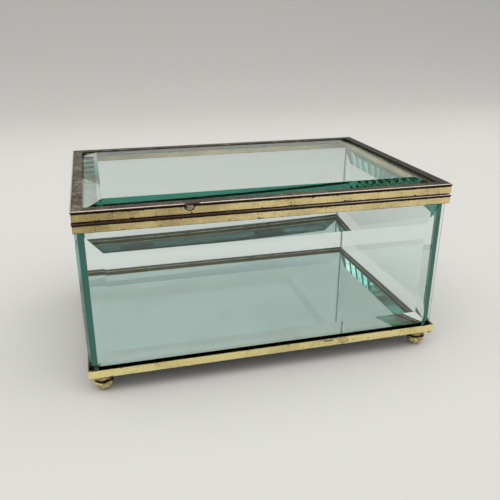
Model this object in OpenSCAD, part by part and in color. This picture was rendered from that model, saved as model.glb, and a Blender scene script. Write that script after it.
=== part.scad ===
// Glass casket box: five bevelled plates held in formed brass, a mirror floor,
// four ball feet and a lid on two barrel hinges at the back.
// Units are millimetres. The origin is on the table, under the middle of the box
// with its hinges counted in. X runs along the length, the front faces -Y, Z is up.

/* [Box] */
// Length over the lid frame
box_w = 178; // [120:1:260]
// Depth over the lid frame
box_d = 121; // [90:1:200]
// Height from the underside of the base frame to the top of the lid frame
body_h = 81.3; // [60:0.1:140]

/* [Glass] */
// Thickness of the bevelled plate
glass_t = 4.8; // [4:0.1:6]
// Angle between a bevel and the flat face
bevel_angle = 15.5; // [8:0.5:16]
// Width of the bevels along the long edges and round the lid
bevel_w = 12.7; // [8:0.1:16]
// Width of the bevels along the upright edges of the front and back plates
upright_bevel_w = 11.2; // [8:0.1:16]
// Width of the bevels along the upright edges of the end plates
end_bevel_w = 6.6; // [4:0.1:12]
// Distance from the outline of the box in to the flat outer faces
glass_inset = 0.2; // [0:0.05:0.5]
// How far the lid's flat face stands above its frame
lid_proud = 0.95; // [0.5:0.05:1]
// Film of clear adhesive between the plates at an upright corner
joint_t = 0.1; // [0.05:0.05:0.3]

/* [Brass frames] */
// Thickness of the folded sheet
sheet_t = 0.4; // [0.3:0.05:0.6]
// Thickness of the rim's strip, and of the rolled edge of the lid's
strip_t = 0.9; // [0.8:0.05:1.2]
// Thickness of the sheet that reaches in over the lid glass
cap_t = 0.4; // [0.2:0.05:0.6]
// How far a strip stands out past the band under it
lip = 0.3; // [0.2:0.05:0.6]
// Width of the strip round the lid glass
cap_w = 5.3; // [4.5:0.1:7]
// Height of the band of the lid frame below its strip
lid_band_h = 3.95; // [3:0.05:6]
// Height of the band of the rim below its strip
rim_band_h = 3.5; // [2.5:0.1:6]
// Height of the band of the base frame
base_band_h = 4.2; // [3:0.1:6]
// Gap that shows between the closed lid and the rim
lid_gap = 0.5; // [0.3:0.05:1]
// Width of the base frame's underside, which carries the floor and the feet
base_web_w = 9.8; // [8:0.1:14]
// Thickness of the base frame's underside
web_t = 0.6; // [0.4:0.1:1]

/* [Mirror floor] */
// Thickness of the mirror glass
mirror_t = 2; // [1.5:0.1:3]
// Thickness of the silvered and painted coat under the mirror glass
silvering_t = 0.2; // [0.1:0.1:0.4]

/* [Feet] */
// Diameter of a ball foot
foot_d = 9.5; // [8:0.5:12]
// Height cut from the top of a ball where it is soldered to the base
foot_flat = 0.5; // [0.3:0.1:1]
// Depth of the flat worn on the bottom of a ball
foot_wear = 0.12; // [0.05:0.01:0.3]
// Centre of a foot in from the end of the box
foot_in_x = 6.6; // [5.5:0.1:9]
// Centre of a foot in from the front or back of the box
foot_in_y = 6; // [5.5:0.1:9]

/* [Hinges] */
// Length of one hinge
hinge_len = 24; // [16:1:40]
// Distance from the middle of the box to the middle of a hinge
hinge_x = 52; // [30:1:70]
// Outside diameter of the hinge barrel
barrel_d = 3.2; // [2.8:0.1:4]
// Diameter of the hinge pin
pin_d = 1.6; // [1.2:0.1:2]
// Opening at which the heel of the lid leaf meets the rim leaf
stop_angle = 105; // [95:1:120]

/* [Hidden] */
$fn = 64;

// Side turned towards the viewer, its opposite, and the two ends
FRONT = 0;
BACK = 1;
LEFT = 2;
RIGHT = 3;

brass = "#cdb56d";
dark_brass = "#6d6150";
solder_grey = "#a9a491";
glass_green = [0.70, 0.86, 0.80, 0.45];
mirror_green = "#9fb3ab";
coat_grey = "#6f7573";
clear_film = [0.85, 0.92, 0.90, 0.5];

// Levels above the table
base_z = foot_d - foot_flat - foot_wear;
lid_top_z = base_z + body_h;
lid_z = lid_top_z - strip_t - lid_band_h;
rim_top_z = lid_z - lid_gap;
rim_z = rim_top_z - strip_t - rim_band_h;
seat_gap = 0.1;
wall_z = base_z + web_t + seat_gap;
wall_top_z = rim_top_z - strip_t - sheet_t - seat_gap;
wall_h = wall_top_z - wall_z;
mirror_z = base_z + web_t + silvering_t;

// Hinges. They stand out behind the frame, so the frame sits forward of the origin
leaf_t = 0.5;
hinge_gap = 0.3;
heel_reach = 2.2;
heel_half_t = 0.5;
axis_out = hinge_gap + barrel_d / 2 - lip;
mid_y = -(axis_out + heel_reach) / 2;
front_y = mid_y - box_d / 2;
back_y = mid_y + box_d / 2;
leaf_y = back_y - lip;
axis_y = back_y + axis_out;
axis_z = lid_z - lid_gap / 2;
knuckle_len = (hinge_len - 2 * hinge_gap) / 3;
running_d = pin_d + 0.1;
face_distance = axis_y - leaf_y - leaf_t;

// How far a leaf is notched past the hinge line to clear the other leaf's knuckle
notch_h = sqrt(pow(barrel_d / 2 + hinge_gap, 2) - pow(face_distance, 2));

// The heel's leading corner meets the rim leaf's face at the stop angle
heel_corner_r = sqrt(pow(heel_reach, 2) + pow(heel_half_t, 2));
heel_angle = stop_angle + atan(heel_half_t / heel_reach) - asin(face_distance / heel_corner_r);

// Distances in from the outline
wall_in = glass_inset + glass_t;
edge_in = lip + sheet_t + 0.05;
flange_in = wall_in + 0.15;
rim_w = flange_in + sheet_t;
mirror_in = rim_w + 0.2;

// The wedge that grinds one bevel: the ridge lies on the X axis, the plate's
// outer face is the plane y = 0 and the plate's edge is at z = width
module bevel_wedge(width, length) {
    over = 1;
    reach = width + over;
    rotate([90, 0, 90])
        linear_extrude(length, center = true)
            polygon([[-over, 0], [0, 0], [tan(bevel_angle) * reach, reach], [-over, reach]]);
}

// A plate standing on z = 0 with its flat outer face on the plane y = 0,
// ground with a bevel along every edge of that face
module bevelled_plate(width, height, edge_bevel, end_bevel) {
    difference() {
        translate([-width / 2, 0, 0])
            cube([width, glass_t, height]);
        translate([0, 0, height - edge_bevel])
            bevel_wedge(edge_bevel, width + 2);
        translate([0, 0, edge_bevel])
            mirror([0, 0, 1])
                bevel_wedge(edge_bevel, width + 2);
        for (turn = [-90, 90])
            translate([0, 0, height / 2])
                rotate([0, turn, 0])
                    translate([0, 0, width / 2 - end_bevel])
                        bevel_wedge(end_bevel, height + 2);
    }
}

function side_length(side) = side == FRONT || side == BACK ? box_w : box_d;

// Puts what is drawn with its outer face on y = 0 onto one side of the box
module on_side(side) {
    if (side == FRONT)
        translate([0, front_y, 0]) children();
    else if (side == BACK)
        translate([0, back_y, 0]) rotate(180) children();
    else if (side == LEFT)
        translate([-box_w / 2, mid_y, 0]) rotate(-90) children();
    else
        translate([box_w / 2, mid_y, 0]) rotate(90) children();
}

// One length of frame: a profile drawn as [distance in, height] is drawn out
// along the side and cut to 45 degrees at both ends
module mitred_length(side, z, depth, height) {
    long = side_length(side);
    translate([0, 0, z])
        on_side(side)
            intersection() {
                rotate([90, 0, 90])
                    linear_extrude(long, center = true)
                        children();
                translate([0, 0, -1])
                    linear_extrude(height + 2)
                        polygon([
                            [-long / 2, 0], [long / 2, 0],
                            [long / 2 - depth, depth], [-long / 2 + depth, depth]
                        ]);
            }
}

// A flat strip with a rolled outer edge. The sheet is level with the top of the roll
module strip_profile(width, thickness) {
    radius = strip_t / 2;
    translate([radius, radius])
        circle(radius);
    translate([radius, strip_t - thickness])
        square([width - radius, thickness]);
}

// Base frame: outer lip, inner flange, and the web that runs in under the floor
module base_profile() {
    fold = 0.5;
    square_h = base_band_h - fold;
    translate([0, fold])
        square([sheet_t, square_h]);
    intersection() {
        translate([fold, fold])
            circle(fold);
        square([fold, fold]);
    }
    translate([fold, 0])
        square([base_web_w - fold, web_t]);
    translate([flange_in, 0])
        square([sheet_t, base_band_h]);
}

module base_length(side) {
    color(brass)
        mitred_length(side, base_z, base_web_w, base_band_h)
            base_profile();
}

module base_front() { base_length(FRONT); }
module base_back() { base_length(BACK); }
module base_left() { base_length(LEFT); }
module base_right() { base_length(RIGHT); }

// Puts a piece drawn with the front left corner at the origin at all four corners
module at_corners() {
    translate([0, mid_y, 0])
        for (right = [0, 1])
            for (back = [0, 1])
                mirror([right, 0, 0])
                    mirror([0, back, 0])
                        translate([-box_w / 2, -box_d / 2, 0])
                            children();
}

// Solder run down the inside of the base frame's folded lip at each corner
module base_corner_solder() {
    bead_r = 0.75;
    bead_c = sheet_t + 0.6;
    color(solder_grey)
        at_corners()
            intersection() {
                translate([bead_c, bead_c, base_z + web_t])
                    cylinder(h = base_band_h - web_t - 0.2, r = bead_r);
                translate([sheet_t, sheet_t, base_z])
                    cube([2, 2, base_band_h]);
            }
}

// Ball foot, flat on top where it is soldered under the corner of the base
module foot(sx, sy) {
    radius = foot_d / 2;
    x = sx * (box_w / 2 - foot_in_x);
    y = mid_y + sy * (box_d / 2 - foot_in_y);
    color(brass)
        translate([x, y, 0])
            rotate_extrude()
                intersection() {
                    translate([0, radius - foot_wear])
                        circle(radius);
                    square([radius, base_z]);
                }
}

module foot_front_left() { foot(-1, -1); }
module foot_front_right() { foot(1, -1); }
module foot_back_left() { foot(-1, 1); }
module foot_back_right() { foot(1, 1); }

// A sheet that fills the floor inside the base frame's inner flange
module floor_sheet(z, thickness) {
    width = box_w - 2 * mirror_in;
    depth = box_d - 2 * mirror_in;
    translate([-width / 2, mid_y - depth / 2, z])
        cube([width, depth, thickness]);
}

module floor_mirror() { color(mirror_green) floor_sheet(mirror_z, mirror_t); }
module mirror_silvering() { color(coat_grey) floor_sheet(base_z + web_t, silvering_t); }

// The front and back plates run the full length, and the end plates fit between
module wall_plate(side) {
    along = side == FRONT || side == BACK;
    width = along ? box_w - 2 * edge_in : box_d - 2 * (wall_in + joint_t);
    side_bevel = along ? upright_bevel_w : end_bevel_w;
    color(glass_green)
        translate([0, 0, wall_z])
            on_side(side)
                translate([0, glass_inset, 0])
                    bevelled_plate(width, wall_h, bevel_w, side_bevel);
}

module front_glass() { wall_plate(FRONT); }
module back_glass() { wall_plate(BACK); }
module left_glass() { wall_plate(LEFT); }
module right_glass() { wall_plate(RIGHT); }

// Film that glues the end plates' upright edges to the front and back plates
module corner_adhesive() {
    film_w = glass_t - end_bevel_w * tan(bevel_angle) - 0.2;
    film_h = wall_h - 2 * base_band_h;
    color(clear_film)
        at_corners()
            translate([wall_in - film_w - 0.1, wall_in, wall_z + base_band_h])
                cube([film_w, joint_t, film_h]);
}

// Rim: an upside-down channel over the top edges of the wall plates
module rim_profile() {
    translate([lip, 0])
        square([sheet_t, rim_band_h]);
    translate([lip, rim_band_h - sheet_t])
        square([rim_w - lip, sheet_t]);
    translate([flange_in, 0])
        square([sheet_t, rim_band_h]);
}

module rim_length(side) {
    color(brass)
        mitred_length(side, rim_z, rim_w, rim_band_h)
            rim_profile();
}

module rim_front() { rim_length(FRONT); }
module rim_back() { rim_length(BACK); }
module rim_left() { rim_length(LEFT); }
module rim_right() { rim_length(RIGHT); }

// The back strip is flush with its band, where the hinges lie against it
module rim_strip(side) {
    color(dark_brass)
        difference() {
            mitred_length(side, rim_z + rim_band_h, rim_w, strip_t)
                strip_profile(rim_w, strip_t);
            translate([-box_w / 2, back_y - lip, rim_z])
                cube([box_w, 2 * lip, rim_band_h + 2 * strip_t]);
        }
}

module rim_strip_front() { rim_strip(FRONT); }
module rim_strip_back() { rim_strip(BACK); }
module rim_strip_left() { rim_strip(LEFT); }
module rim_strip_right() { rim_strip(RIGHT); }

// Low dabs of solder over the rim's mitres, on which the closed lid comes down
module rim_corner_solder() {
    dab_h = lid_gap - 0.1;
    color(solder_grey)
        at_corners()
            translate([rim_w / 2, rim_w / 2, rim_top_z])
                cylinder(h = dab_h, d1 = 3.2, d2 = 2);
}

// Lid frame: the band stands up from a flange that runs in under the glass
module lid_band_profile() {
    radius = strip_t / 2;
    translate([lip, radius])
        square([sheet_t, lid_band_h - radius]);
    translate([lip + radius, radius])
        circle(radius);
    translate([lip + radius, 0])
        square([cap_w - lip - radius, strip_t]);
}

module lid_band(side) {
    color(brass)
        mitred_length(side, lid_z, cap_w, lid_band_h)
            lid_band_profile();
}

module lid_band_front() { lid_band(FRONT); }
module lid_band_back() { lid_band(BACK); }
module lid_band_left() { lid_band(LEFT); }
module lid_band_right() { lid_band(RIGHT); }

// The rolled edge stands on the band, and the thin sheet clears the sloping bevel
module lid_strip(side) {
    color(dark_brass)
        mitred_length(side, lid_z + lid_band_h, cap_w, strip_t)
            strip_profile(cap_w, cap_t);
}

module lid_strip_front() { lid_strip(FRONT); }
module lid_strip_back() { lid_strip(BACK); }
module lid_strip_left() { lid_strip(LEFT); }
module lid_strip_right() { lid_strip(RIGHT); }

// The bevelled edge lies under the strip, so the flat face stands above the frame
module lid_glass() {
    depth = box_d - 2 * edge_in;
    top_z = lid_top_z + lid_proud;
    color(glass_green)
        translate([0, mid_y - depth / 2, top_z])
            rotate([-90, 0, 0])
                bevelled_plate(box_w - 2 * edge_in, depth, bevel_w, bevel_w);
}

// Draws a profile, given as [distance behind, height above] the hinge line, out
// along one of the hinges
module along_hinge(sx, start, length) {
    translate([sx * hinge_x - hinge_len / 2 + start, axis_y, axis_z])
        rotate([90, 0, 90])
            linear_extrude(length)
                children();
}

// A leaf's plate lies against the band. Its knuckles reach the hinge line, and the
// plate stops short of it between them to clear the other leaf's knuckle
module leaf_plate(near, far) {
    translate([leaf_y - axis_y, near])
        square([leaf_t, far - near]);
}

// Rim leaf: a plate down the rim's band with a knuckle at each end
module rim_hinge_leaf(sx) {
    foot_z = rim_z + 0.3 - axis_z;
    color(brass) {
        along_hinge(sx, 0, hinge_len)
            leaf_plate(foot_z, -notch_h);
        for (start = [0, 2 * (knuckle_len + hinge_gap)])
            along_hinge(sx, start, knuckle_len)
                difference() {
                    union() {
                        leaf_plate(foot_z / 2, 0);
                        circle(d = barrel_d);
                    }
                    circle(d = pin_d);
                }
    }
}

module rim_hinge_leaf_left() { rim_hinge_leaf(-1); }
module rim_hinge_leaf_right() { rim_hinge_leaf(1); }

// Pin: tight in the rim leaf's knuckles, free in the lid leaf's
module hinge_pin(sx) {
    color(brass)
        along_hinge(sx, -0.2, hinge_len + 0.4)
            circle(d = pin_d);
}

module hinge_pin_left() { hinge_pin(-1); }
module hinge_pin_right() { hinge_pin(1); }

// Lid leaf: a plate up the lid's band with one knuckle in the middle. A heel stands
// out of the knuckle and comes round to the rim leaf's face as the lid opens
module lid_hinge_leaf(sx) {
    head_z = lid_z + lid_band_h - 0.3 - axis_z;
    color(brass) {
        along_hinge(sx, 0, hinge_len)
            leaf_plate(notch_h, head_z);
        along_hinge(sx, knuckle_len + hinge_gap, knuckle_len)
            difference() {
                union() {
                    leaf_plate(0, head_z / 2);
                    circle(d = barrel_d);
                    rotate(heel_angle - 90)
                        translate([0, -heel_half_t])
                            square([heel_reach, 2 * heel_half_t]);
                }
                circle(d = running_d);
            }
    }
}

module lid_hinge_leaf_left() { lid_hinge_leaf(-1); }
module lid_hinge_leaf_right() { lid_hinge_leaf(1); }

base_front();
base_back();
base_left();
base_right();
base_corner_solder();
foot_front_left();
foot_front_right();
foot_back_left();
foot_back_right();
floor_mirror();
mirror_silvering();
front_glass();
back_glass();
left_glass();
right_glass();
corner_adhesive();
rim_front();
rim_back();
rim_left();
rim_right();
rim_strip_front();
rim_strip_back();
rim_strip_left();
rim_strip_right();
rim_corner_solder();
rim_hinge_leaf_left();
rim_hinge_leaf_right();
hinge_pin_left();
hinge_pin_right();
lid_band_front();
lid_band_back();
lid_band_left();
lid_band_right();
lid_strip_front();
lid_strip_back();
lid_strip_left();
lid_strip_right();
lid_glass();
lid_hinge_leaf_left();
lid_hinge_leaf_right();
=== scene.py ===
"""Looks for the glass casket box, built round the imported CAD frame.

The CAD nodes keep their shapes and places and get procedural finishes here: green
bevelled glass, a mirror floor, worn brass and tarnished strips. Small pieces that
only matter to the eye, such as lumps of solder, are added as surfaces.
"""

import math

import bpy
import numpy as np
from bpy.props import FloatProperty, FloatVectorProperty, PointerProperty
from mathutils import Matrix, Vector


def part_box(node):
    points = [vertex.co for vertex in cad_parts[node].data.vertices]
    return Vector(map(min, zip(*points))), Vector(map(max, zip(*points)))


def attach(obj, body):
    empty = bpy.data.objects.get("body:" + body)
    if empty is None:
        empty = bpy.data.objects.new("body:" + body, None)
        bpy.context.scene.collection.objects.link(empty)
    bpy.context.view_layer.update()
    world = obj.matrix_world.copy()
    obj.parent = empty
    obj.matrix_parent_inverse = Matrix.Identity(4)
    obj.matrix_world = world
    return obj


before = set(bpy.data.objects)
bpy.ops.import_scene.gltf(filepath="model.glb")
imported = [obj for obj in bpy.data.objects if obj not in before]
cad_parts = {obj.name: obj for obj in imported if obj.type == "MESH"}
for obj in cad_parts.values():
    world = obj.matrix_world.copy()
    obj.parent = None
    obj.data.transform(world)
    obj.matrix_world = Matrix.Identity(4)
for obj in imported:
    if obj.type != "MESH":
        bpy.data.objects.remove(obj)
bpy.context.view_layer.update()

bl_info = {
    "name": "Glass Casket Box",
    "version": (1, 0, 0),
    "blender": (4, 5, 0),
    "location": "3D View > Sidebar > Casket",
    "description": "Finishes and small pieces for a bevelled glass keepsake box",
    "category": "Object",
}

MM = 0.001

SIDES = ("front", "back", "left", "right")
FEET = ("front_left", "front_right", "back_left", "back_right")


def outline():
    """The corners of a box round the lid's strips. The rim and the base share it."""
    low, high = Vector((1, 1, 1)), Vector((-1, -1, -1))
    for side in SIDES:
        strip_low, strip_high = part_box("lid_strip_" + side)
        low = Vector(map(min, low, strip_low))
        high = Vector(map(max, high, strip_high))
    return low, high


OUTLINE_LOW, OUTLINE_HIGH = outline()
MIDDLE = (OUTLINE_LOW + OUTLINE_HIGH) / 2
HALF = (OUTLINE_HIGH - OUTLINE_LOW) / 2

# Marks where the photograph shows them: an x, and how far below the top of the piece
RIM_JOINT_X = -79.2 * MM
LUMP_X, LUMP_DOWN = -39.1 * MM, 0.8 * MM
PATCH_X, PATCH_DOWN = 37.3 * MM, 1.6 * MM
SCRAPE_X, SCRAPE_DOWN = 29.2 * MM, 0.9 * MM
# The length of the lid's rolled edge that stays brown, as its middle and half of it
BROWN_GAP = (-38.0 * MM, 3.0 * MM)

# Half sizes of those marks, across and up, and through for the lump and its flux
PATCH_REACH = (3.4 * MM, 1.9 * MM)
SCRAPE_REACH = (3.7 * MM, 0.55 * MM)
FLUX_REACH = (2.35 * MM, 0.12 * MM, 1.75 * MM)
LUMP_REACH = (1.75 * MM, 0.28 * MM, 1.3 * MM)

# Solder at the feet and under the corners of the base
COLLAR_RADIUS, COLLAR_THICKNESS, COLLAR_DOWN = 2.6 * MM, 0.62 * MM, 0.15 * MM
BEAD_REACH = (2.5 * MM, 1.5 * MM, 1.25 * MM)
BEAD_IN_X, BEAD_IN_Y, BEAD_DOWN = 2.9 * MM, 1.9 * MM, 0.25 * MM

# Widths across the frames, in millimetres in from the outline
TROUGH_MIDDLE, TROUGH_HALF = 2.8, 2.42
INNER_FLANGE = 5.2
ROLL_EDGE, CREST_MIDDLE, CREST_HALF = 1.0, 0.30, 0.16

# Depths of the bumps on metal
BRASS_BUMP, SOLDER_BUMP = 0.04 * MM, 0.15 * MM

# Scales of the noises, in features for each metre, and the space between specks
SMEARS, PAINT_GRAIN, FILM_DRIFT = 22.0, 400.0, 70.0
WEAR_DRIFT, METAL_GRAIN, DRAWN_LINES = 60.0, 900.0, 1400.0
CREASE_EDGE, HEM_EDGE, MARK_EDGE = 500.0, 350.0, 700.0
FOOT_SPECKLE, STAIN_WANDER = 480.0, 330.0
STRIP_LUMPS, STRIP_DRIFT, STRIP_GRAIN = 950.0, 130.0, 2600.0
SPECK_SPACING_MM = 0.75

# Colours that the panel leaves out, as red, green and blue
ROOM_WHITE = (1.0, 0.995, 0.98)
FILM_BASE = (0.01, 0.03, 0.02)
BASE_BRASS = (0.90, 0.79, 0.37)
CAST_BRASS = (1.0, 0.87, 0.46)
# The crest of the strips' rolled edge: rubbed metal with a painted highlight
PINK_CREST = (0.78, 0.68, 0.58)
BROWN_CREST = (0.12, 0.045, 0.030)
TARNISH_BLACK = (0.035, 0.026, 0.017)
TARNISH_BROWN = (0.12, 0.095, 0.065)
TARNISH_TAN = (0.17, 0.14, 0.10)
# Darker colour towards the right end of the strips
TARNISH_RIGHT_END = (0.030, 0.022, 0.016)
OLD_PLATING = (0.42, 0.35, 0.26)
ROLL_BROWN = (0.045, 0.022, 0.014)
# Painted shade under the rolled edge of the strips
ROLL_SHADE = (0.006, 0.004, 0.003)
# Pairs of colours with a noise between them. Metal has the first one in its pits
SOLDER_GREY = (0.13, 0.105, 0.065), (0.52, 0.46, 0.32)
SOLDER_GOLD = (0.20, 0.14, 0.06), (0.70, 0.57, 0.30)
BURNT_FLUX = (0.012, 0.009, 0.006), (0.05, 0.035, 0.02)
BACK_PAINT = (0.16, 0.17, 0.17), (0.26, 0.27, 0.27)
# Painted glow of the film in the corner joints: it emits these greens
EDGE_GLOW_GREEN = (0.008, 0.080, 0.058), (0.022, 0.120, 0.090)

# The stage, in metres
PAPER_REACH, BEND_Y, BEND_RADIUS, PAPER_TOP = 2.5, 0.75, 0.5, 0.9
SOFTBOX_PLACE, SOFTBOX_SIZE = (0.05, -0.12, 1.6), (2.8, 2.0)
# Shares of the paper's colour far back and high up, and where each comes in. These are painted
# shade for light falling off
FAR_SHARE, FAR_FROM, FAR_TO = 0.635, 0.35, 1.15
HIGH_SHARE, HIGH_FROM, HIGH_TO = 0.84, 0.28, 0.5
# The sky's back half, as a range of y, and the heights over which it turns dark
BACK_FROM, BACK_TO, DARK_FROM, DARK_TO = 0.1, 0.4, 0.55, 0.68
# Strength of the sky over the back below that, and the share of light near the floor
LOW_BACK_SKY, FLOOR_SHARE, FLOOR_TO = 0.50, 0.15, 0.5
# The camera's sensor in millimetres, and its near limit
SENSOR_WIDTH, NEAR_CLIP = 36.0, 0.01
BOUNCES, DIFFUSE_BOUNCES, TRANSPARENT_BOUNCES = 96, 4, 32


# Settings, which the panel shows


class CasketGlassSettings(bpy.types.PropertyGroup):
    """How the glass and the mirror look."""

    taken: FloatVectorProperty(
        name="Light taken",
        description="Absorption of red, green and blue light, for each metre of glass",
        default=(17.5, 6.5, 8.6),
        min=0.0,
        max=100.0,
    )
    ior: FloatProperty(
        name="Bending of light",
        description="Index of refraction of the plate",
        default=1.52,
        min=1.3,
        max=1.8,
    )
    ground: FloatProperty(
        name="Ground edges",
        description="Roughness of the narrow edges, which are ground and not polished",
        default=1.0,
        min=0.0,
        max=1.0,
    )
    mirror: FloatVectorProperty(
        name="Mirror",
        description="Colour of the silvered floor",
        subtype="COLOR",
        default=(0.74, 0.92, 0.90),
        min=0.0,
        max=1.0,
    )


class CasketBrassSettings(bpy.types.PropertyGroup):
    """How the brass and the solder look."""

    bright: FloatVectorProperty(
        name="Bright brass",
        description="Colour of the rubbed bands",
        subtype="COLOR",
        default=(0.80, 0.66, 0.33),
        min=0.0,
        max=1.0,
    )
    dull: FloatVectorProperty(
        name="Dull brass",
        description="Colour where the lacquer has gone",
        subtype="COLOR",
        default=(0.46, 0.36, 0.16),
        min=0.0,
        max=1.0,
    )
    # Besides specks and dirt, this colour is the painted shade under the strips, in the base
    # trough and on undersides
    dark: FloatVectorProperty(
        name="Tarnish",
        description="Colour of specks and of dirt in the creases",
        subtype="COLOR",
        default=(0.020, 0.014, 0.009),
        min=0.0,
        max=1.0,
    )
    pitting: FloatProperty(
        name="Pitting",
        description="Depth of the pits in the strips",
        default=0.12 * MM,
        min=0.0,
        max=1.0 * MM,
        unit="LENGTH",
    )


class CasketStageSettings(bpy.types.PropertyGroup):
    """The camera, the lamps and the sweep of paper."""

    camera_place: FloatVectorProperty(
        name="Camera",
        description="Where the camera stands",
        subtype="TRANSLATION",
        unit="LENGTH",
        default=(-0.0765, -0.3010, 0.1653),
    )
    camera_turn: FloatProperty(
        name="Turn",
        description="How far the camera turns from straight ahead to the right",
        subtype="ANGLE",
        default=math.radians(15.06),
    )
    camera_dip: FloatProperty(
        name="Dip",
        description="How far the camera looks down",
        subtype="ANGLE",
        default=math.radians(21.91),
    )
    camera_roll: FloatProperty(
        name="Roll",
        description="How far the camera leans",
        subtype="ANGLE",
        default=math.radians(0.23),
    )
    lens: FloatProperty(
        name="Lens",
        description="Focal length on a 36 mm wide sensor, in millimetres",
        default=42.04,
        min=10.0,
        max=200.0,
    )
    paper: FloatVectorProperty(
        name="Paper",
        description="Colour of the floor and the backdrop",
        subtype="COLOR",
        default=(0.79, 0.78, 0.75),
        min=0.0,
        max=1.0,
    )
    sky: FloatProperty(
        name="Room light",
        description="Strength of the light from all round",
        default=0.76,
        min=0.0,
        max=2.0,
    )
    sky_back: FloatProperty(
        name="Room light from the back",
        description="Strength of the light from over the backdrop",
        default=0.05,
        min=0.0,
        max=2.0,
    )
    softbox: FloatProperty(
        name="Softbox",
        description="Power of the lamp overhead",
        default=18.0,
        min=0.0,
        max=200.0,
        unit="POWER",
    )


# Helpers that build shader nodes


def add_node(tree, kind, inputs=None, **settings):
    """Adds a node. inputs maps a socket to a value, or to the output that feeds it."""
    made = tree.nodes.new(kind)
    for name, value in settings.items():
        setattr(made, name, value)
    for name, value in (inputs or {}).items():
        if isinstance(value, bpy.types.NodeSocket):
            tree.links.new(value, made.inputs[name])
        else:
            made.inputs[name].default_value = value
    return made


def maths(tree, operation, a, b=0.0, c=0.0):
    """One Math node's output."""
    return add_node(tree, "ShaderNodeMath", {0: a, 1: b, 2: c}, operation=operation).outputs[0]


def ramp(tree, value, low, high, start=0.0, end=1.0):
    """value between low and high, brought smoothly to start and end."""
    return add_node(
        tree,
        "ShaderNodeMapRange",
        {"Value": value, "From Min": low, "From Max": high, "To Min": start, "To Max": end},
        interpolation_type="SMOOTHSTEP",
    ).outputs["Result"]


def away_from(tree, value, centre):
    """How far value is from centre, either way."""
    return maths(tree, "ABSOLUTE", maths(tree, "SUBTRACT", value, centre))


def near(tree, value, centre, half, soft):
    """1 where value is within half of centre, falling to 0 over soft."""
    return ramp(tree, away_from(tree, value, centre), half, half + soft, 1.0, 0.0)


def clear_of(tree, value, centre, half, soft):
    """0 where value is within half of centre, rising to 1 over soft."""
    return ramp(tree, away_from(tree, value, centre), half, half + soft)


def to_edges(tree, value, low, high, share, start, end):
    """start over the middle share of the range from low to high, and end at its ends."""
    half = (high - low) / 2
    away = away_from(tree, value, (low + high) / 2)
    return ramp(tree, away, share * half, half, start, end)


def either(tree, *masks):
    """The greatest of some masks."""
    result = masks[0]
    for mask in masks[1:]:
        result = maths(tree, "MAXIMUM", result, mask)
    return result


def both(tree, *masks):
    """The product of some masks."""
    result = masks[0]
    for mask in masks[1:]:
        result = maths(tree, "MULTIPLY", result, mask)
    return result


def rgba(colour):
    """Red, green and blue as the four numbers that a socket takes."""
    return (*colour, 1.0)


def blend_colour(tree, share, a, b):
    """Colour a turning into b by share. Each is an output, or red, green and blue."""
    a, b = (end if isinstance(end, bpy.types.NodeSocket) else rgba(end) for end in (a, b))
    return add_node(
        tree, "ShaderNodeMix", {0: share, 6: a, 7: b}, data_type="RGBA"
    ).outputs[2]


def noise(tree, place, scale, detail=3.0):
    """A noise of that many features in a metre, between 0 and 1."""
    return add_node(
        tree, "ShaderNodeTexNoise", {"Vector": place, "Scale": scale, "Detail": detail}
    ).outputs["Fac"]


def bump_from(tree, height, distance, strength=1.0):
    """A normal bent by a height."""
    return add_node(
        tree,
        "ShaderNodeBump",
        {"Height": height, "Strength": strength, "Distance": distance},
    ).outputs[0]


def new_group(name, inputs, outputs):
    """An empty node group with named sockets, its tree, and its two end nodes."""
    tree = bpy.data.node_groups.new(name, "ShaderNodeTree")
    for label, kind in inputs:
        tree.interface.new_socket(label, in_out="INPUT", socket_type=kind)
    for label, kind in outputs:
        tree.interface.new_socket(label, in_out="OUTPUT", socket_type=kind)
    return tree, tree.nodes.new("NodeGroupInput"), tree.nodes.new("NodeGroupOutput")


def new_material(name):
    """A material with one Principled shader, its tree, and the shader."""
    made = bpy.data.materials.new(name)
    made.use_nodes = True
    return made, made.node_tree, made.node_tree.nodes["Principled BSDF"]


def surface_place(tree):
    """Where a point of the surface lies in the frame, and which way it faces there."""
    made = add_node(tree, "ShaderNodeTexCoord")
    return made.outputs["Object"], made.outputs["Normal"]


def split(tree, vector):
    """The three parts of a vector."""
    return add_node(tree, "ShaderNodeSeparateXYZ", {0: vector}).outputs


FLOAT, COLOUR, VECTOR = "NodeSocketFloat", "NodeSocketColor", "NodeSocketVector"


def inset_group():
    """How far a point lies in from the outline of the box, in millimetres: the
    smaller of half the length less |x| and half the depth less |y|, about the middle."""
    if "Casket Inset" in bpy.data.node_groups:
        return bpy.data.node_groups["Casket Inset"]
    tree, start, end = new_group("Casket Inset", [("Place", VECTOR)], [("Inset", FLOAT)])
    x, y, _ = split(tree, start.outputs["Place"])
    nearest = maths(
        tree,
        "MINIMUM",
        maths(tree, "SUBTRACT", HALF.x, away_from(tree, x, MIDDLE.x)),
        maths(tree, "SUBTRACT", HALF.y, away_from(tree, y, MIDDLE.y)),
    )
    tree.links.new(maths(tree, "DIVIDE", nearest, MM), end.inputs["Inset"])
    return tree


def inset_of(tree, place):
    """The inset group's result for a place."""
    return add_node(
        tree, "ShaderNodeGroup", {"Place": place}, node_tree=inset_group()
    ).outputs["Inset"]


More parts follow.
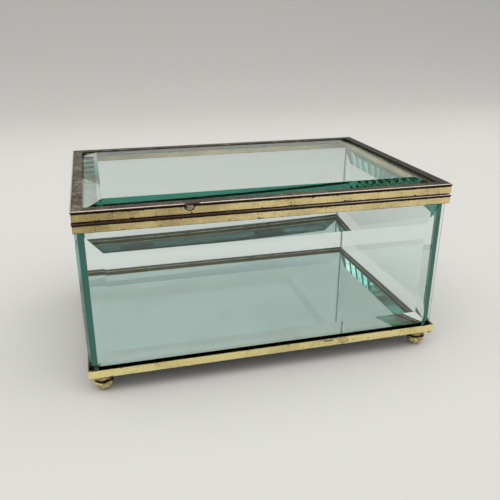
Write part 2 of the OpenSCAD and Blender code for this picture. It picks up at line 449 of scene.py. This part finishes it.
def speck_group():
    """Small dark spots of uneven size: the distance to scattered points, made uneven
    with a noise, is cut off at a level that Amount raises where a slow noise is high."""
    if "Casket Specks" in bpy.data.node_groups:
        return bpy.data.node_groups["Casket Specks"]
    tree, start, end = new_group(
        "Casket Specks",
        [("Place", VECTOR), ("Spacing mm", FLOAT), ("Amount", FLOAT)],
        [("Mask", FLOAT)],
    )
    place = start.outputs["Place"]
    scale = maths(tree, "DIVIDE", 1.0 / MM, start.outputs["Spacing mm"])
    points = add_node(tree, "ShaderNodeTexVoronoi", {"Vector": place, "Scale": scale})
    slow = noise(tree, place, maths(tree, "MULTIPLY", scale, 0.2))
    fine = noise(tree, place, maths(tree, "MULTIPLY", scale, 2.5))
    level = both(tree, start.outputs["Amount"], ramp(tree, slow, 0.35, 0.7))
    uneven = maths(tree, "SUBTRACT", both(tree, fine, 0.5), 0.25)
    spot = maths(tree, "ADD", points.outputs["Distance"], uneven)
    edge = maths(tree, "SUBTRACT", level, spot)
    tree.links.new(ramp(tree, edge, 0.0, 0.1), end.inputs["Mask"])
    return tree


def brass_group():
    """Worn brass: a slow drift from bright to dull, fine lines along the metal, and dark specks
    and dirt. The inputs for dirt and for dullness also carry painted shade from the finishes
    that use the group."""
    if "Casket Brass" in bpy.data.node_groups:
        return bpy.data.node_groups["Casket Brass"]
    tree, start, end = new_group(
        "Casket Brass",
        [
            ("Place", VECTOR),
            ("Bright", COLOUR),
            ("Dull", COLOUR),
            ("Dark", COLOUR),
            ("Dullness and shade", FLOAT),
            ("Specks", FLOAT),
            ("Dirt and shade", FLOAT),
        ],
        [("Colour", COLOUR), ("Roughness", FLOAT), ("Height", FLOAT)],
    )
    place = start.outputs["Place"]
    x, y, z = split(tree, place)
    # A place squeezed along x and y draws its noise out into lines along the metal
    along = maths(tree, "MULTIPLY", maths(tree, "ADD", x, y), 0.08)
    run = add_node(tree, "ShaderNodeCombineXYZ", {0: along, 1: 0.0, 2: z}).outputs[0]
    fine = noise(tree, place, METAL_GRAIN, 4.0)
    lines = noise(tree, run, DRAWN_LINES, 2.0)
    texture = maths(tree, "ADD", fine, lines)
    wear = maths(tree, "ADD", noise(tree, place, WEAR_DRIFT), both(tree, texture, 0.3))
    worn = ramp(tree, wear, 0.6, 1.0, -0.35, 0.35)
    # Dullness also carries painted shade from the callers, shown as the dull colour
    dulled_and_shaded = maths(tree, "ADD", worn, start.outputs["Dullness and shade"])
    dulled_and_shaded = maths(tree, "MINIMUM", maths(tree, "MAXIMUM", dulled_and_shaded, 0.0), 1.0)
    colour = blend_colour(tree, dulled_and_shaded, start.outputs["Bright"], start.outputs["Dull"])
    specks = add_node(
        tree,
        "ShaderNodeGroup",
        {
            "Place": place,
            "Spacing mm": SPECK_SPACING_MM,
            "Amount": start.outputs["Specks"],
        },
        node_tree=speck_group(),
    ).outputs["Mask"]
    # The dark colour marks specks, dirt and the painted shade that the callers send
    mask = either(tree, specks, start.outputs["Dirt and shade"])
    tree.links.new(blend_colour(tree, mask, colour, start.outputs["Dark"]), end.inputs["Colour"])
    rough = maths(
        tree,
        "ADD",
        ramp(tree, texture, 0.7, 1.3, 0.18, 0.30),
        both(tree, either(tree, mask, dulled_and_shaded), 0.2),
    )
    tree.links.new(rough, end.inputs["Roughness"])
    height = maths(tree, "SUBTRACT", both(tree, texture, 0.25), mask)
    tree.links.new(height, end.inputs["Height"])
    return tree


# Finishes, one function for each material


def glass_finish(name, settings, axis):
    """Clear plate that takes red light most, so that it is green through its length.
    axis is the one that the plate is thin along. Faces that look away from it are the
    narrow edges, which are ground."""
    material, tree, shader = new_material(name)
    shader.inputs["Base Color"].default_value = rgba((1, 1, 1))
    shader.inputs["IOR"].default_value = settings.ior
    shader.inputs["Transmission Weight"].default_value = 1.0
    facing = maths(tree, "ABSOLUTE", split(tree, surface_place(tree)[1])[axis])
    tree.links.new(
        ramp(tree, facing, 0.4, 0.6, settings.ground, 0.0), shader.inputs["Roughness"]
    )
    density = max(settings.taken)
    volume = tree.nodes.new("ShaderNodeVolumeAbsorption")
    volume.inputs["Density"].default_value = density
    volume.inputs["Color"].default_value = rgba([1 - t / density for t in settings.taken])
    tree.links.new(volume.outputs[0], tree.nodes["Material Output"].inputs["Volume"])
    return material


def mirror_finish(settings):
    """The silvered floor, with faint smears."""
    material, tree, shader = new_material("mirror_floor")
    place, _ = surface_place(tree)
    smears = noise(tree, place, SMEARS, 4.0)
    smeared = tuple(0.93 * value for value in settings.mirror)
    tree.links.new(
        blend_colour(tree, ramp(tree, smears, 0.4, 0.7), settings.mirror, smeared),
        shader.inputs["Base Color"],
    )
    shader.inputs["Metallic"].default_value = 1.0
    tree.links.new(ramp(tree, smears, 0.45, 0.75, 0.015, 0.05), shader.inputs["Roughness"])
    return material


def coat_finish():
    """Grey paint on the back of the mirror."""
    material, tree, shader = new_material("mirror_back_paint")
    grain = noise(tree, surface_place(tree)[0], PAINT_GRAIN, 4.0)
    colour = blend_colour(tree, grain, *BACK_PAINT)
    tree.links.new(colour, shader.inputs["Base Color"])
    shader.inputs["Roughness"].default_value = 0.7
    return material


def finish_brass(settings, dullness_and_shade, specks, dirt_and_shade, made, bright=None):
    """Joins the brass group to a Principled shader. made is new_material's result and
    the place on the surface. bright takes the place of the settings' colour."""
    material, tree, shader, place = made
    wear = add_node(
        tree,
        "ShaderNodeGroup",
        {
            "Place": place,
            "Bright": rgba(bright or settings.bright),
            "Dull": rgba(settings.dull),
            "Dark": rgba(settings.dark),
            "Dullness and shade": dullness_and_shade,
            "Specks": specks,
            "Dirt and shade": dirt_and_shade,
        },
        node_tree=brass_group(),
    )
    tree.links.new(wear.outputs["Colour"], shader.inputs["Base Color"])
    tree.links.new(wear.outputs["Roughness"], shader.inputs["Roughness"])
    shader.inputs["Metallic"].default_value = 1.0
    tree.links.new(
        bump_from(tree, wear.outputs["Height"], BRASS_BUMP, 0.6), shader.inputs["Normal"]
    )
    return material


def band_finish(name, settings, node, specks, shade_height, dull_to, joint_x=None):
    """A band of the lid or the rim: dull from the left end to dull_to, and dull at the end faces
    as painted shade, with painted shade under the strip and along its lower edge, dark specks
    gathered at both edges, and a joint line at joint_x."""
    made = new_material(name)
    tree = made[1]
    place, normal = surface_place(tree)
    low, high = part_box(node)
    x, _, z = split(tree, place)
    ragged = maths(tree, "SUBTRACT", noise(tree, place, CREASE_EDGE), 0.5)
    level = maths(tree, "ADD", z, both(tree, ragged, 0.5 * MM))
    # Painted shade: a dark line under the strip's overhang, and one along the lower edge at the
    # gap below
    shade_under_strip = ramp(tree, level, high.z - shade_height, high.z - 0.6 * shade_height)
    lower_edge = ramp(tree, level, low.z + 0.08 * MM, low.z + 0.24 * MM, 1.0, 0.0)
    dirt_and_shade = either(tree, shade_under_strip, lower_edge)
    if joint_x is not None:
        lean = maths(tree, "MULTIPLY_ADD", z, 0.12, -0.12 * low.z)
        line = near(tree, maths(tree, "ADD", x, lean), joint_x, 0.05 * MM, 0.08 * MM)
        dirt_and_shade = either(tree, dirt_and_shade, both(tree, line, 0.85))
    amount = to_edges(tree, z, low.z, high.z, 0.35, specks, specks + 0.30)
    # Painted shade: the end faces, turned along x, are made duller
    ends = ramp(tree, maths(tree, "ABSOLUTE", split(tree, normal)[0]), 0.5, 0.9, 0.0, 0.45)
    dullness_and_shade = maths(tree, "ADD", ramp(tree, x, -HALF.x, dull_to, 1.0, 0.10), ends)
    return finish_brass(settings, dullness_and_shade, amount, dirt_and_shade, (*made, place))


def base_finish(settings):
    """The base frame: rubbed bright outside, with painted black shade between its lip and its
    flange, painted shade down the flange beside the mirror and on faces looking down, darker
    along its bottom edge, and a patch of solder on the front."""
    made = new_material("base_brass")
    tree = made[1]
    place, normal = surface_place(tree)
    low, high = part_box("base_front")
    _, y, z = split(tree, place)
    inset = inset_of(tree, place)
    # Painted shade: black in the trough between the lip and the flange, dark down the inner
    # flange below its top, and dark on faces looking down
    trough = near(tree, inset, TROUGH_MIDDLE, TROUGH_HALF, 0.05)
    inner = ramp(tree, inset, INNER_FLANGE, INNER_FLANGE + 0.1)
    down = ramp(tree, z, high.z - 0.30 * MM, high.z - 0.12 * MM, 0.88, 0.0)
    below = ramp(tree, split(tree, normal)[2], -0.5, -0.8)
    # Darker along the bottom edge, with an uneven line
    uneven = both(tree, noise(tree, place, HEM_EDGE), 0.5 * MM)
    level = maths(tree, "SUBTRACT", z, uneven)
    hem = ramp(tree, level, low.z - 0.1 * MM, low.z + 0.12 * MM, 1.0, 0.0)
    dirt_and_shade = either(tree, trough, both(tree, inner, down), both(tree, below, 0.9), hem)
    front = ramp(tree, y, MIDDLE.y - 0.97 * HALF.y, MIDDLE.y - 0.99 * HALF.y)
    patch = solder_mark(tree, place, PATCH_X, high.z - PATCH_DOWN, *PATCH_REACH)
    scrape = solder_mark(tree, place, SCRAPE_X, high.z - SCRAPE_DOWN, *SCRAPE_REACH)
    rim_of_patch = near(tree, patch, 0.5, 0.22, 0.2)
    marks = either(tree, both(tree, rim_of_patch, 0.55), both(tree, scrape, 0.75))
    dirt_and_shade = either(tree, dirt_and_shade, both(tree, front, marks))
    inside = both(tree, front, ramp(tree, patch, 0.6, 0.9))
    # The inner flange is also made duller, as painted shade
    dullness_and_shade = maths(tree, "ADD", both(tree, inner, 0.45), both(tree, inside, 0.75))
    specks = to_edges(tree, z, low.z, high.z, 0.5, 0.32, 0.52)
    return finish_brass(settings, dullness_and_shade, specks, dirt_and_shade, (*made, place), BASE_BRASS)


def solder_mark(tree, place, centre_x, centre_z, reach_x, reach_z):
    """1 inside an uneven oval on a front face, 0 outside."""
    x, _, z = split(tree, place)
    across = maths(tree, "DIVIDE", maths(tree, "SUBTRACT", x, centre_x), reach_x)
    up = maths(tree, "DIVIDE", maths(tree, "SUBTRACT", z, centre_z), reach_z)
    squares = maths(tree, "ADD", both(tree, across, across), both(tree, up, up))
    out = maths(tree, "ADD", maths(tree, "SQRT", squares), noise(tree, place, MARK_EDGE))
    return ramp(tree, out, 1.25, 1.5, 1.0, 0.0)


def foot_finish(name, settings, low, high, dullness_and_shade):
    """Cast brass, brown in blotches, with painted shade over its upper half, rubbed bright below
    a wandering dark line."""
    made = new_material(name)
    tree = made[1]
    place, _ = surface_place(tree)
    z = split(tree, place)[2]
    speckle = noise(tree, place, FOOT_SPECKLE, 5.0)
    blotches = ramp(tree, speckle, 0.47, 0.55, 0.0, 0.85)
    # Painted shade: the upper half, under the base, is made dull and brown
    shaded_top_half = ramp(tree, z, low + 0.5 * (high - low), low + 0.62 * (high - low), 0.0, 0.9)
    wander = noise(tree, place, STAIN_WANDER)
    wander = maths(tree, "MULTIPLY_ADD", wander, 1.6 * MM, -0.8 * MM)
    level = maths(tree, "ADD", z, wander)
    dark_line = near(tree, level, low + 0.66 * (high - low), 0.35 * MM, 0.4 * MM)
    # The sum holds the blotches, the painted shade on the upper half and the given dullness
    dull = maths(tree, "ADD", maths(tree, "ADD", blotches, shaded_top_half), dullness_and_shade)
    finished = finish_brass(settings, dull, 0.55, dark_line, (*made, place), CAST_BRASS)
    tree.links.new(ramp(tree, speckle, 0.4, 0.6, 0.10, 0.28), made[2].inputs["Roughness"])
    return finished


def tarnish_finish(name, settings, roll_left, roll_right, gap=None):
    """Dark pitted strip with pale lumps where old plating holds on, worst at the left end, and
    darker towards the right end. The rolled edge is brown with painted black shade underneath,
    and its crest is rubbed and carries a painted highlight, in a colour that goes from roll_left
    to roll_right, but for gap, a length left brown."""
    material, tree, shader = new_material(name)
    place, normal = surface_place(tree)
    x = split(tree, place)[0]
    up = split(tree, normal)[2]
    inset = inset_of(tree, place)
    lumps = noise(tree, place, STRIP_LUMPS, 5.0)
    drift = noise(tree, place, STRIP_DRIFT)
    fine = noise(tree, place, STRIP_GRAIN)
    left = ramp(tree, x, -0.9 * HALF.x, -0.97 * HALF.x, 0.0, 0.07)
    right = ramp(tree, x, 0.0, 0.9 * HALF.x, 0.0, -0.08)
    rise = maths(tree, "ADD", maths(tree, "ADD", lumps, left), right)
    pale = ramp(tree, maths(tree, "MULTIPLY_ADD", drift, 0.5, rise), 0.76, 0.98)
    browner = ramp(tree, drift, 0.3, 0.7)
    dark = blend_colour(tree, browner, TARNISH_BLACK, TARNISH_BROWN)
    dark = blend_colour(tree, ramp(tree, fine, 0.45, 0.7), dark, TARNISH_TAN)
    colour = blend_colour(tree, pale, dark, OLD_PLATING)
    # Darker towards the right end
    toward_right_end = ramp(tree, x, 0.84 * HALF.x, 0.95 * HALF.x, 0.0, 0.85)
    colour = blend_colour(tree, toward_right_end, colour, TARNISH_RIGHT_END)
    roll = ramp(tree, inset, ROLL_EDGE, ROLL_EDGE - 0.15)
    # The pale line along the crest is rubbed metal and a painted highlight
    crest = near(tree, inset, CREST_MIDDLE, CREST_HALF, 0.14)
    rightward = ramp(tree, x, -0.4 * HALF.x, 0.8 * HALF.x)
    crest_colour = blend_colour(tree, rightward, roll_left, roll_right)
    rubbed_and_highlit = both(tree, crest, ramp(tree, maths(tree, "ADD", drift, fine), 0.5, 0.85))
    if gap is not None:
        rubbed_and_highlit = both(tree, rubbed_and_highlit, clear_of(tree, x, *gap, 0.8 * MM))
    colour = blend_colour(tree, both(tree, roll, 0.85), colour, ROLL_BROWN)
    colour = blend_colour(tree, rubbed_and_highlit, colour, crest_colour)
    # Painted shade: faces of the roll that look down go near black
    shaded = both(tree, roll, ramp(tree, up, -0.05, -0.4))
    colour = blend_colour(tree, shaded, colour, ROLL_SHADE)
    tree.links.new(colour, shader.inputs["Base Color"])
    tree.links.new(ramp(tree, lumps, 0.3, 0.7, 0.5, 0.32), shader.inputs["Roughness"])
    shader.inputs["Metallic"].default_value = 0.8
    height = maths(tree, "MULTIPLY_ADD", fine, 0.3, maths(tree, "ADD", lumps, pale))
    tree.links.new(bump_from(tree, height, settings.pitting), shader.inputs["Normal"])
    return material


def solder_finish(name, pits, between):
    """Dull solder, with a colour for its pits and one for the metal between them."""
    material, tree, shader = new_material(name)
    place, _ = surface_place(tree)
    grain = noise(tree, place, METAL_GRAIN, 4.0)
    colour = blend_colour(tree, ramp(tree, grain, 0.38, 0.6), pits, between)
    tree.links.new(colour, shader.inputs["Base Color"])
    shader.inputs["Metallic"].default_value = 0.9
    tree.links.new(ramp(tree, grain, 0.3, 0.7, 0.5, 0.28), shader.inputs["Roughness"])
    tree.links.new(bump_from(tree, grain, SOLDER_BUMP), shader.inputs["Normal"])
    return material


def adhesive_finish():
    """The film in the corner joints. It glows with painted green light that stands for the light
    the plates carry to the edges it sits on, a little uneven, and has no colour of its own."""
    material, tree, shader = new_material("clear_adhesive")
    uneven = noise(tree, surface_place(tree)[0], FILM_DRIFT, 2.0)
    colour = blend_colour(tree, uneven, *EDGE_GLOW_GREEN)
    # Painted light: the film emits this green as a glow
    tree.links.new(colour, shader.inputs["Emission Color"])
    shader.inputs["Emission Strength"].default_value = 1.0
    shader.inputs["Base Color"].default_value = rgba(FILM_BASE)
    shader.inputs["Roughness"].default_value = 0.6
    shader.inputs["Specular IOR Level"].default_value = 0.0
    return material


def dress(node, material):
    """Gives a CAD node its finish."""
    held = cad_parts[node]
    if not held.material_slots:
        held.data.materials.append(material)
    for slot in held.material_slots:
        slot.material = material


# Surfaces for the small pieces


def grid_faces(rows, columns):
    """Quads between the points of a grid whose columns close on themselves."""
    index = np.arange(rows * columns).reshape(rows, columns)
    after = np.roll(index, -1, axis=1)
    return np.stack([index[:-1], after[:-1], after[1:], index[1:]], axis=-1).reshape(-1, 4)


def new_piece(name, points, faces, material):
    """An object from points in metres and lists of faces, smooth, with its finish."""
    mesh = bpy.data.meshes.new(name)
    mesh.from_pydata(points.tolist(), [], faces)
    mesh.shade_smooth()
    mesh.materials.append(material)
    made = bpy.data.objects.new(name, mesh)
    bpy.context.scene.collection.objects.link(made)
    return made


def lump(name, centre, reach, waves, turn, material):
    """A closed lump: an ellipsoid with half sizes reach. Its surface is moved in and
    out by three and seven waves round the upright axis, waves deep and turned by turn."""
    rows, columns = 24, 40
    down = np.linspace(0, np.pi, rows + 2)[1:-1][:, None]
    round_it = np.linspace(0, 2 * np.pi, columns, endpoint=False)[None, :]
    wave = np.sin(3 * round_it + turn) * np.sin(down) * np.cos(2 * down + turn)
    wave = wave + 0.5 * np.sin(7 * round_it - turn) * np.sin(down) ** 2
    size = 1 + waves * wave
    body = np.stack(
        [
            size * np.sin(down) * np.cos(round_it),
            size * np.sin(down) * np.sin(round_it),
            size * np.cos(down) * np.ones_like(round_it),
        ],
        axis=-1,
    ).reshape(-1, 3)
    points = np.vstack([body, [[0, 0, 1]], [[0, 0, -1]]])
    points = points * np.asarray(reach) + np.asarray(centre)
    top, bottom = len(body), len(body) + 1
    first = np.arange(columns)
    last = first + (rows - 1) * columns
    caps = np.vstack(
        [
            np.stack([np.full(columns, top), first, np.roll(first, -1)], axis=-1),
            np.stack([np.full(columns, bottom), np.roll(last, -1), last], axis=-1),
        ]
    )
    faces = grid_faces(rows, columns)[:, ::-1].tolist() + caps.tolist()
    return new_piece(name, points, faces, material)


def collar(name, centre, radius, thickness, turn, material):
    """A closed ring of solder: a circle of uneven thickness carried round a circle of
    uneven radius about the upright axis."""
    rows, columns = 60, 14
    around = np.linspace(0, 2 * np.pi, rows, endpoint=False)[:, None]
    section = np.linspace(0, 2 * np.pi, columns, endpoint=False)[None, :]
    thick = thickness * (1 + 0.22 * np.sin(3 * around + turn) + 0.1 * np.sin(8 * around))
    out = radius * (1 + 0.05 * np.sin(2 * around - turn)) + thick * np.cos(section)
    points = np.stack(
        [
            centre[0] + out * np.cos(around),
            centre[1] + out * np.sin(around),
            centre[2] + 0.8 * thick * np.sin(section),
        ],
        axis=-1,
    ).reshape(-1, 3)
    index = np.arange(rows * columns).reshape(rows, columns)
    onward, after = np.roll(index, -1, axis=0), np.roll(index, -1, axis=1)
    both_on = np.roll(onward, -1, axis=1)
    faces = np.stack([index, onward, both_on, after], axis=-1).reshape(-1, 4)
    return new_piece(name, points, faces.tolist(), material)


def profile_sheet(name, profile, xs, material):
    """A sheet: each point of a profile (y, z) carried along a row of x values."""
    profile, xs = np.asarray(profile, float), np.asarray(xs, float)
    rows, columns = len(profile), len(xs)
    points = np.empty((rows, columns, 3))
    points[..., 0] = xs[None, :]
    points[..., 1:] = profile[:, None, :]
    index = np.arange(rows * columns).reshape(rows, columns)
    faces = np.stack(
        [index[:-1, :-1], index[:-1, 1:], index[1:, 1:], index[1:, :-1]], axis=-1
    ).reshape(-1, 4)
    return new_piece(name, points.reshape(-1, 3), faces.tolist(), material)


# Steps, one operator for each group of pieces


class CASKET_OT_glass(bpy.types.Operator):
    """Finish the five bevelled plates, the film that glues them, and the mirror floor"""

    bl_idname = "casket.glass"
    bl_label = "Glass and Mirror"

    def execute(self, context):
        settings = context.scene.casket_glass
        for name, axis, nodes in (
            ("long_plate_glass", 1, ("front_glass", "back_glass")),
            ("end_plate_glass", 0, ("left_glass", "right_glass")),
            ("lid_plate_glass", 2, ("lid_glass",)),
        ):
            plate = glass_finish(name, settings, axis)
            for node in nodes:
                dress(node, plate)
        dress("corner_adhesive", adhesive_finish())
        dress("floor_mirror", mirror_finish(settings))
        dress("mirror_silvering", coat_finish())
        return {"FINISHED"}


class CASKET_OT_brass(bpy.types.Operator):
    """Finish the bands, channels, feet, hinges and solder"""

    bl_idname = "casket.brass"
    bl_label = "Brass"

    def execute(self, context):
        settings = context.scene.casket_brass
        lid = band_finish("lid_brass", settings, "lid_band_front", 0.34, 0.75 * MM, 0.0)
        rim = band_finish(
            "rim_brass", settings, "rim_front", 0.32, 0.60 * MM, -0.1 * HALF.x, RIM_JOINT_X
        )
        base = base_finish(settings)
        for side in SIDES:
            dress("lid_band_" + side, lid)
            dress("rim_" + side, rim)
            dress("base_" + side, base)
        low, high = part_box("foot_front_left")
        foot = foot_finish("foot_brass", settings, low.z, high.z, 0.15)
        for name in FEET:
            dress("foot_" + name, foot)
        _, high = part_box("rim_hinge_leaf_left")
        hinge = foot_finish("hinge_brass", settings, high.z, high.z + HALF.z, 0.35)
        for name in ("rim_hinge_leaf", "lid_hinge_leaf", "hinge_pin"):
            for side in ("left", "right"):
                dress(name + "_" + side, hinge)
        solder = solder_finish("solder", *SOLDER_GREY)
        dress("base_corner_solder", solder)
        dress("rim_corner_solder", solder)
        return {"FINISHED"}


class CASKET_OT_strips(bpy.types.Operator):
    """Finish the tarnished strips on the lid and the rim"""

    bl_idname = "casket.strips"
    bl_label = "Tarnished Strips"

    def execute(self, context):
        settings = context.scene.casket_brass
        lid = tarnish_finish(
            "lid_strip_tarnish", settings, PINK_CREST, PINK_CREST, BROWN_GAP
        )
        rim = tarnish_finish("rim_strip_tarnish", settings, BROWN_CREST, PINK_CREST)
        for side in SIDES:
            dress("lid_strip_" + side, lid)
            dress("rim_strip_" + side, rim)
        return {"FINISHED"}


class CASKET_OT_solder(bpy.types.Operator):
    """Add the lumps and collars of solder that the hand soldering left"""

    bl_idname = "casket.solder"
    bl_label = "Solder Lumps"

    def execute(self, context):
        grey = solder_finish("solder_lump", *SOLDER_GREY)
        burnt = solder_finish("burnt_flux", *BURNT_FLUX)
        gold = solder_finish("brassy_solder", *SOLDER_GOLD)
        band_low, band_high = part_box("lid_band_front")
        middle = (LUMP_X, band_low.y, band_high.z - LUMP_DOWN)
        flux = lump("lid_flux_ring", middle, FLUX_REACH, 0.10, 1.0, burnt)
        blob = lump("lid_solder_lump", middle, LUMP_REACH, 0.06, 2.0, grey)
        for piece in (flux, blob):
            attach(piece, "lid")
        base_low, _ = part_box("base_front")
        for number, name in enumerate(FEET):
            low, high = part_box("foot_" + name)
            centre = ((low.x + high.x) / 2, (low.y + high.y) / 2, high.z - COLLAR_DOWN)
            ring = collar(
                "foot_collar_" + name, centre, COLLAR_RADIUS, COLLAR_THICKNESS, number, gold
            )
            side_x = -1 if low.x < 0 else 1
            side_y = -1 if low.y < MIDDLE.y else 1
            # The largest bead is at the corner that the photograph shows crumpled
            spread = 1.0 if name == "front_left" else 0.6
            corner = (
                MIDDLE.x + side_x * (HALF.x - BEAD_IN_X * spread),
                MIDDLE.y + side_y * (HALF.y - BEAD_IN_Y * spread),
                base_low.z - BEAD_DOWN,
            )
            reach = tuple(value * spread for value in BEAD_REACH)
            bead = lump("corner_bead_" + name, corner, reach, 0.12, number, gold)
            for piece in (ring, bead):
                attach(piece, "box")
        return {"FINISHED"}


class CASKET_OT_stage(bpy.types.Operator):
    """Set the paper sweep, the lamps, the room light and the camera"""

    bl_idname = "casket.stage"
    bl_label = "Stage"

    def execute(self, context):
        settings = context.scene.casket_stage
        scene = context.scene
        material, tree, shader = new_material("paper")
        _, y, z = split(tree, surface_place(tree)[0])
        # Painted shade: the paper is darker far back and high up
        far_shade = [FAR_SHARE * value for value in settings.paper]
        high_shade = [HIGH_SHARE * value for value in settings.paper]
        back = ramp(tree, y, FAR_FROM, FAR_TO)
        colour = blend_colour(tree, back, settings.paper, far_shade)
        colour = blend_colour(tree, ramp(tree, z, HIGH_FROM, HIGH_TO), colour, high_shade)
        tree.links.new(colour, shader.inputs["Base Color"])
        shader.inputs["Roughness"].default_value = 0.9
        shader.inputs["Specular IOR Level"].default_value = 0.1
        # Floor, a quarter turn and a wall
        angles = np.radians(np.linspace(0, 90, 33))
        arc = np.stack([np.sin(angles), 1 - np.cos(angles)], 1) * BEND_RADIUS + (BEND_Y, 0)
        profile = np.vstack([[(-PAPER_REACH, 0.0)], arc, [(BEND_Y + BEND_RADIUS, PAPER_TOP)]])
        xs = np.linspace(-PAPER_REACH, PAPER_REACH, 3)
        profile_sheet("paper_sweep", profile, xs, material)

        world = bpy.data.worlds.new("room")
        scene.world = world
        world.use_nodes = True
        sky = world.node_tree
        way = split(sky, add_node(sky, "ShaderNodeTexCoord").outputs["Generated"])
        room = sky.nodes["Background"]
        room.inputs["Color"].default_value = rgba(ROOM_WHITE)
        # The lid's bevel reflects the sky high over the back, which is dark, and the
        # mirror reflects the paler sky below it
        over_back = ramp(sky, way[1], BACK_FROM, BACK_TO)
        low_change = LOW_BACK_SKY - settings.sky
        high_change = settings.sky_back - settings.sky
        change = ramp(sky, way[2], DARK_FROM, DARK_TO, low_change, high_change)
        strength = maths(sky, "MULTIPLY_ADD", change, over_back, settings.sky)
        # Little light comes in low, though the room still looks pale there
        path = add_node(sky, "ShaderNodeLightPath").outputs
        low_down = either(
            sky,
            ramp(sky, way[2], 0.0, FLOOR_TO, FLOOR_SHARE, 1.0),
            over_back,
            path["Is Camera Ray"],
            path["Is Transmission Ray"],
        )
        sky.links.new(both(sky, strength, low_down), room.inputs["Strength"])

        lamp = bpy.data.lights.new("softbox", "AREA")
        lamp.shape = "RECTANGLE"
        lamp.size, lamp.size_y = SOFTBOX_SIZE
        lamp.energy = settings.softbox
        placed = bpy.data.objects.new("softbox", lamp)
        scene.collection.objects.link(placed)
        placed.location = SOFTBOX_PLACE

        camera = bpy.data.cameras.new("camera")
        camera.sensor_width = SENSOR_WIDTH
        camera.lens = settings.lens
        camera.clip_start = NEAR_CLIP
        held = bpy.data.objects.new("camera", camera)
        scene.collection.objects.link(held)
        held.matrix_world = (
            Matrix.Translation(settings.camera_place)
            @ Matrix.Rotation(-settings.camera_turn, 4, "Z")
            @ Matrix.Rotation(math.pi / 2 - settings.camera_dip, 4, "X")
            @ Matrix.Rotation(settings.camera_roll, 4, "Z")
        )
        scene.camera = held
        scene.view_settings.view_transform = "Standard"
        scene.cycles.max_bounces = BOUNCES
        scene.cycles.transmission_bounces = BOUNCES
        scene.cycles.glossy_bounces = BOUNCES
        scene.cycles.diffuse_bounces = DIFFUSE_BOUNCES
        scene.cycles.transparent_max_bounces = TRANSPARENT_BOUNCES
        return {"FINISHED"}


class CASKET_PT_panel(bpy.types.Panel):
    """Lists the steps and their settings"""

    bl_label = "Glass Casket Box"
    bl_idname = "CASKET_PT_panel"
    bl_space_type = "VIEW_3D"
    bl_region_type = "UI"
    bl_category = "Casket"

    def draw(self, context):
        for step in STEPS:
            self.layout.operator(step.bl_idname)
        for name in SETTINGS:
            held = getattr(context.scene, name)
            for key in held.bl_rna.properties.keys():
                if key not in ("rna_type", "name"):
                    self.layout.prop(held, key)


STEPS = (CASKET_OT_glass, CASKET_OT_brass, CASKET_OT_strips, CASKET_OT_solder, CASKET_OT_stage)
SETTINGS = {
    "casket_glass": CasketGlassSettings,
    "casket_brass": CasketBrassSettings,
    "casket_stage": CasketStageSettings,
}
CLASSES = (*SETTINGS.values(), *STEPS, CASKET_PT_panel)


def register():
    """Registers the classes and hangs the settings on the scene."""
    for made in CLASSES:
        bpy.utils.register_class(made)
    for name, group in SETTINGS.items():
        setattr(bpy.types.Scene, name, PointerProperty(type=group))


def unregister():
    """Takes away what register added."""
    for name in SETTINGS:
        delattr(bpy.types.Scene, name)
    for made in reversed(CLASSES):
        bpy.utils.unregister_class(made)


def main():
    """Runs the steps in order."""
    register()
    bpy.ops.casket.glass()
    bpy.ops.casket.brass()
    bpy.ops.casket.strips()
    bpy.ops.casket.solder()
    bpy.ops.casket.stage()


if __name__ == "__main__":
    main()
